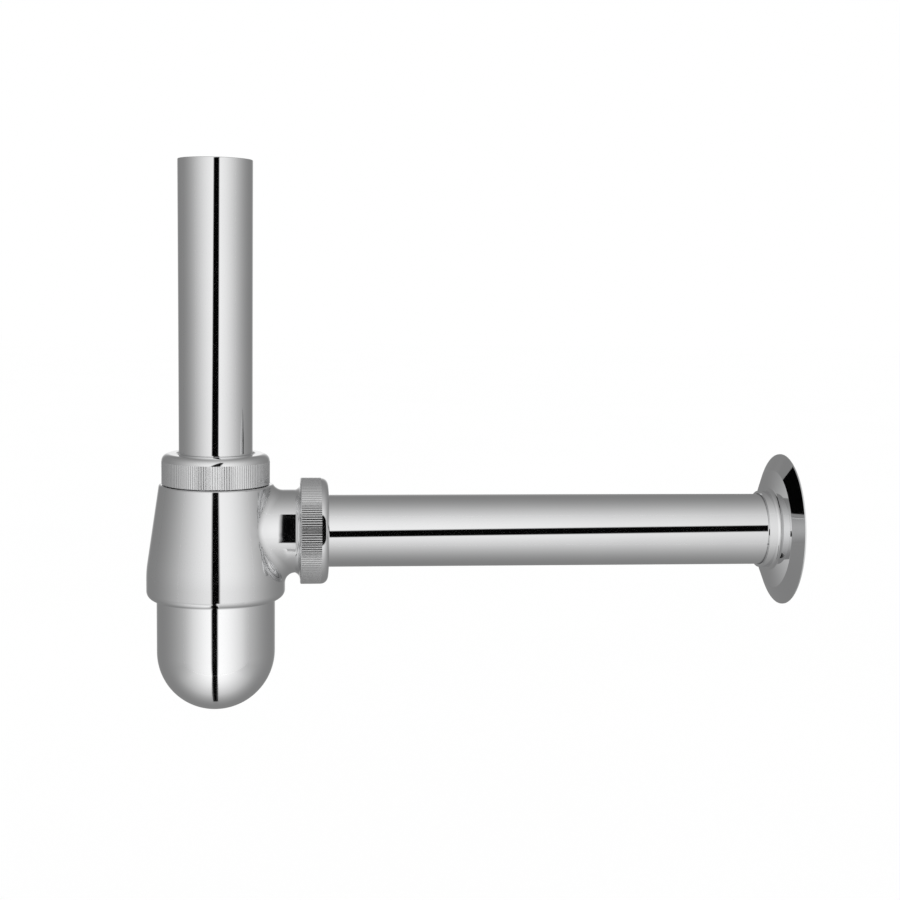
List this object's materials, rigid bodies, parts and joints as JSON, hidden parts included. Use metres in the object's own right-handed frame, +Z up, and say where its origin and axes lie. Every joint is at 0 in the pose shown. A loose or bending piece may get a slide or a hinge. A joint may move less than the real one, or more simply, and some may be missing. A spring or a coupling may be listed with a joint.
{
  "type": "sink bottle trap",
  "caption": "Chromed bottle trap: inlet tube with knurled union nut, tapered body, screw-on cup, side outlet tube with union nut and a sliding wall flange.",
  "frame": {"origin": "centre of the inlet tube's top end, where the basin waste takes it", "axes": "+Z up along the inlet tube, +X along the outlet tube to the wall"},
  "size_m": [0.2862, 0.0684, 0.2397],
  "materials": {
    "chromed_tube": "mirror polish",
    "chromed_nut": "polished, fine straight knurl",
    "chromed_casting": "mirror polish",
    "chromed_sheet": "mirror polish",
    "seal_rubber": "matt",
    "ring_plastic": "matt"
  },
  "bodies": {
    "inlet_tube": {"inlet_tube": "chromed_tube"},
    "inlet_seal": {"inlet_seal": "seal_rubber"},
    "trap_body": {"trap_body": "chromed_casting", "outlet_seal": "seal_rubber"},
    "inlet_pressure_ring": {"inlet_pressure_ring": "ring_plastic"},
    "inlet_nut": {"inlet_nut": "chromed_nut"},
    "cup_seal": {"cup_seal": "seal_rubber"},
    "cup": {"cup": "chromed_casting"},
    "outlet_pressure_ring": {"outlet_pressure_ring": "ring_plastic"},
    "outlet_nut": {"outlet_nut": "chromed_nut"},
    "outlet_tube": {"outlet_tube": "chromed_tube"},
    "wall_flange": {"wall_flange": "chromed_sheet"}
  },
  "joints": [
    {"name": "trap_height", "type": "slide", "parent": "inlet_tube", "child": "inlet_seal", "axis": [0, 0, 1], "range_m": [-0.04, 0.005]},
    {"name": "trap_swivel", "type": "hinge", "parent": "inlet_seal", "child": "trap_body", "pos_m": [0, 0, -0.1606], "axis": [0, 0, 1], "continuous": true},
    {"name": "inlet_nut_travel", "type": "slide", "parent": "trap_body", "child": "inlet_pressure_ring", "axis": [0, 0, 1], "range_m": [0, 0.00693]},
    {"name": "inlet_nut_turn", "type": "hinge", "parent": "inlet_pressure_ring", "child": "inlet_nut", "pos_m": [0, 0, -0.1336], "axis": [0, 0, 1], "range_deg": [0, 1080]},
    {"name": "cup_travel", "type": "slide", "parent": "trap_body", "child": "cup_seal", "axis": [0, 0, -1], "range_m": [0, 0.008]},
    {"name": "cup_turn", "type": "hinge", "parent": "cup_seal", "child": "cup", "pos_m": [0, 0, -0.1906], "axis": [0, 0, -1], "range_deg": [0, 1440]},
    {"name": "outlet_nut_travel", "type": "slide", "parent": "trap_body", "child": "outlet_pressure_ring", "axis": [1, 0, 0], "range_m": [0, 0.00693]},
    {"name": "outlet_nut_turn", "type": "hinge", "parent": "outlet_pressure_ring", "child": "outlet_nut", "pos_m": [0.043, 0, -0.1606], "axis": [1, 0, 0], "range_deg": [0, 1080]},
    {"name": "outlet_tube_slide", "type": "slide", "parent": "trap_body", "child": "outlet_tube", "axis": [1, 0, 0], "range_m": [-0.007, 0.012]},
    {"name": "flange_slide", "type": "slide", "parent": "outlet_tube", "child": "wall_flange", "axis": [1, 0, 0], "range_m": [-0.175, 0]}
  ],
  "couplings": [
    {"joint": "inlet_nut_travel", "follows": "inlet_nut_turn", "m_per_rad": 0.00036749},
    {"joint": "cup_travel", "follows": "cup_turn", "m_per_rad": 0.00031831},
    {"joint": "outlet_nut_travel", "follows": "outlet_nut_turn", "m_per_rad": 0.00036749}
  ]
}
